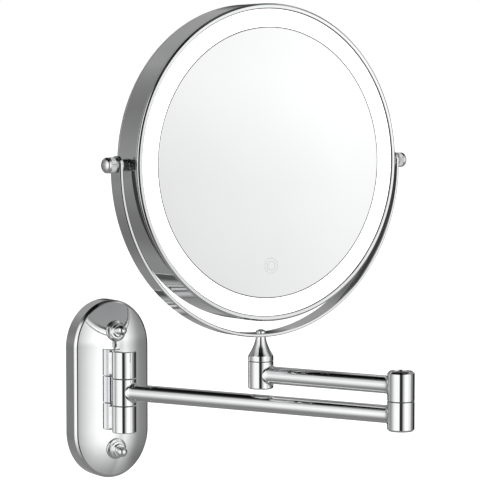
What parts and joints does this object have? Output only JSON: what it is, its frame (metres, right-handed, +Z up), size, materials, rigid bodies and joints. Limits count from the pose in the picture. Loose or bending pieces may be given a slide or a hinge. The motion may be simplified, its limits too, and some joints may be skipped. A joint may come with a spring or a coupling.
{
  "type": "extendable shaving mirror",
  "caption": "Wall-mounted round shaving mirror with a ring light, carried by a tilting yoke on a double folding chrome arm and a domed wall plate.",
  "frame": {"origin": "the middle of the wall plate's back face, on the wall", "axes": "+Y points into the wall, +Z is up, +X is to the right as seen from the room"},
  "size_m": [0.2435, 0.2461, 0.3254],
  "materials": {
    "chrome": "polished chrome plate",
    "steel": "zinc-plated steel",
    "nylon": "natural nylon",
    "mirror_glass": "flat silvered glass",
    "rear_mirror_glass": "hollow silvered glass that magnifies",
    "opal_diffuser": "opal acrylic, lit from behind",
    "white_plastic": "white ABS",
    "circuit_board": "green solder mask",
    "battery_wrap": "foil-wrapped cell"
  },
  "bodies": {
    "wall": {"backing_plate": "steel", "wall_cover": "chrome", "hinge_pin": "steel", "hinge_bracket_top": "chrome", "hinge_bracket_bottom": "chrome", "bracket_screw_top": "steel", "bracket_screw_bottom": "steel", "hinge_washer_top": "nylon", "hinge_washer_bottom": "nylon", "wall_screw_top": "steel", "wall_screw_bottom": "steel", "spacer_bush_top": "steel", "spacer_bush_bottom": "steel", "flange_washer_top": "chrome", "flange_washer_bottom": "chrome", "dome_nut_top": "chrome", "dome_nut_bottom": "chrome"},
    "lower_arm": {"hinge_knuckle": "chrome", "lower_arm_tube": "chrome", "elbow_lower_barrel": "chrome", "elbow_bolt": "steel", "elbow_washer": "nylon", "elbow_spring_washer": "steel", "elbow_nut": "steel"},
    "upper_arm": {"elbow_upper_barrel": "chrome", "elbow_cap": "chrome", "upper_arm_tube": "chrome", "pivot_barrel": "chrome", "pivot_bottom_cap": "chrome"},
    "yoke": {"yoke_post": "chrome", "pivot_bolt": "steel", "pivot_spring_washer": "steel", "pivot_washer": "nylon", "yoke_strap": "chrome", "yoke_screw": "chrome", "yoke_bush_left": "nylon", "yoke_bush_right": "nylon"},
    "head": {"rim_band": "chrome", "front_bezel": "chrome", "rear_bezel": "chrome", "front_mirror": "mirror_glass", "light_diffuser": "opal_diffuser", "reflector_tray": "white_plastic", "led_board": "white_plastic", "touch_sensor": "circuit_board", "battery_pack": "battery_wrap", "control_board": "circuit_board", "charging_socket": "steel", "rear_mirror": "rear_mirror_glass", "side_boss_left": "chrome", "side_boss_right": "chrome"},
    "left_knob": {"left_knob": "chrome", "left_knob_stud": "steel"},
    "right_knob": {"right_knob": "chrome", "right_knob_stud": "steel"}
  },
  "joints": [
    {"name": "arm_swing", "type": "hinge", "parent": "wall", "child": "lower_arm", "pos_m": [0, -0.0305, 0], "axis": [0, 0, 1], "range_deg": [-116.2, 63.8]},
    {"name": "elbow_fold", "type": "hinge", "parent": "lower_arm", "child": "upper_arm", "pos_m": [0.09448, -0.22251, 0.0092], "axis": [0, 0, 1], "continuous": true},
    {"name": "head_swivel", "type": "hinge", "parent": "upper_arm", "child": "yoke", "pos_m": [0.05036, -0.12613, 0.028], "axis": [0, 0, 1], "continuous": true},
    {"name": "mirror_tilt", "type": "hinge", "parent": "yoke", "child": "head", "pos_m": [0.05036, -0.12613, 0.1594], "axis": [0.9986, 0.0523, 0], "continuous": true},
    {"name": "left_knob_turn", "type": "hinge", "parent": "head", "child": "left_knob", "pos_m": [-0.06748, -0.13231, 0.1594], "axis": [-0.9986, -0.0523, 0], "range_deg": [0, 360]},
    {"name": "right_knob_turn", "type": "hinge", "parent": "head", "child": "right_knob", "pos_m": [0.1682, -0.11996, 0.1594], "axis": [0.9986, 0.0523, 0], "range_deg": [0, 360]}
  ]
}
